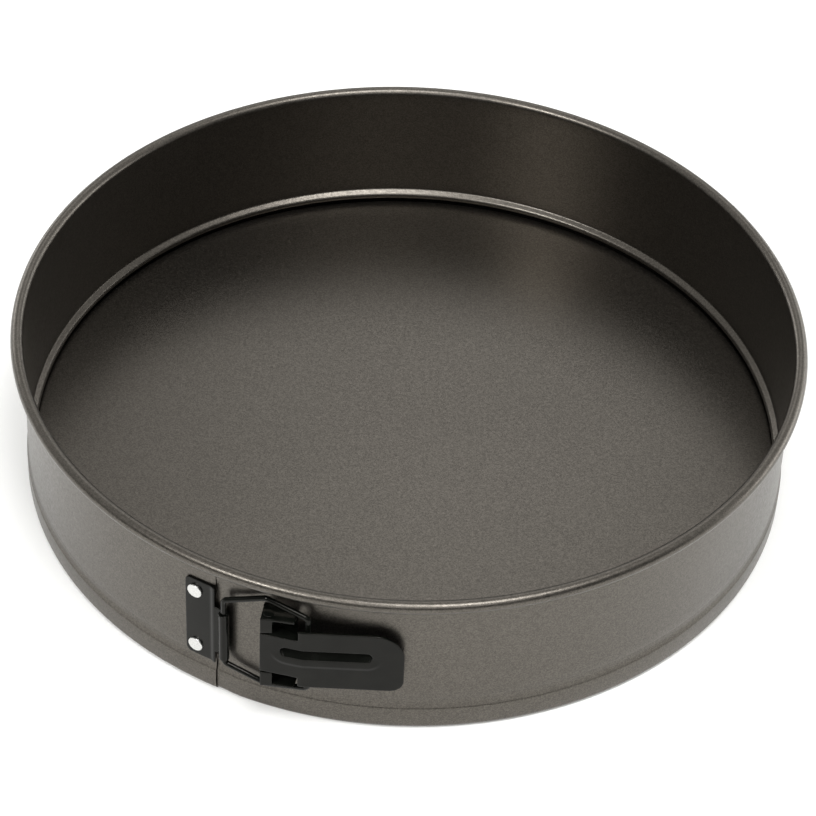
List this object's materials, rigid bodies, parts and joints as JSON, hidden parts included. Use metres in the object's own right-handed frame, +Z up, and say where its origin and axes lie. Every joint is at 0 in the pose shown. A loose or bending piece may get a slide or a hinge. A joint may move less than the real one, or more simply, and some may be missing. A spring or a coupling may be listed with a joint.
{
  "type": "springform pan",
  "caption": "Round springform cake pan: coated steel band with an over-centre lever latch and wire bail, closed round a loose flat base.",
  "frame": {"origin": "on the pan's axis, at the plane the band stands on", "axes": "+Z up along the pan's axis; the closed lever lies along X at the front (-Y); +X to the right seen from the front"},
  "size_m": [0.31, 0.31, 0.068],
  "materials": {
    "coated_sheet": "dark warm-grey non-stick coating with a fine metallic fleck, satin",
    "latch_black": "glossy black enamel on stamped steel",
    "wire_black": "glossy black enamel on steel wire",
    "rivet_metal": "bright satin rivet heads"
  },
  "bodies": {
    "pan": {"band_right": "coated_sheet", "base_disc": "coated_sheet", "bracket": "latch_black", "pivot_pin": "wire_black", "bracket_rivet_lower": "rivet_metal", "bracket_rivet_upper": "rivet_metal"},
    "sprung_half": {"band_left": "coated_sheet", "catch_plate": "latch_black", "catch_rivet_lower": "rivet_metal", "catch_rivet_upper": "rivet_metal"},
    "lever": {"lever": "latch_black"},
    "bail": {"bail": "wire_black"}
  },
  "joints": [
    {"name": "lever_swing", "type": "hinge", "parent": "pan", "child": "lever", "pos_m": [-0.0456, -0.1484, 0.03729], "axis": [0, 0, -1], "range_deg": [0, 110]},
    {"name": "band_spring", "type": "hinge", "parent": "pan", "child": "sprung_half", "pos_m": [0.06519, 0.13543, 0.034], "axis": [0, 0, -1], "range_deg": [0, 1.15]},
    {"name": "bail_swing", "type": "hinge", "parent": "sprung_half", "child": "bail", "pos_m": [-0.0623, -0.1399, 0.03729], "axis": [0, 0, -1], "range_deg": [0, 41.81]}
  ],
  "couplings": [
    {"joint": "band_spring", "follows": "lever_swing", "ratio": 0.01045},
    {"joint": "bail_swing", "follows": "lever_swing", "ratio": 0.38}
  ]
}
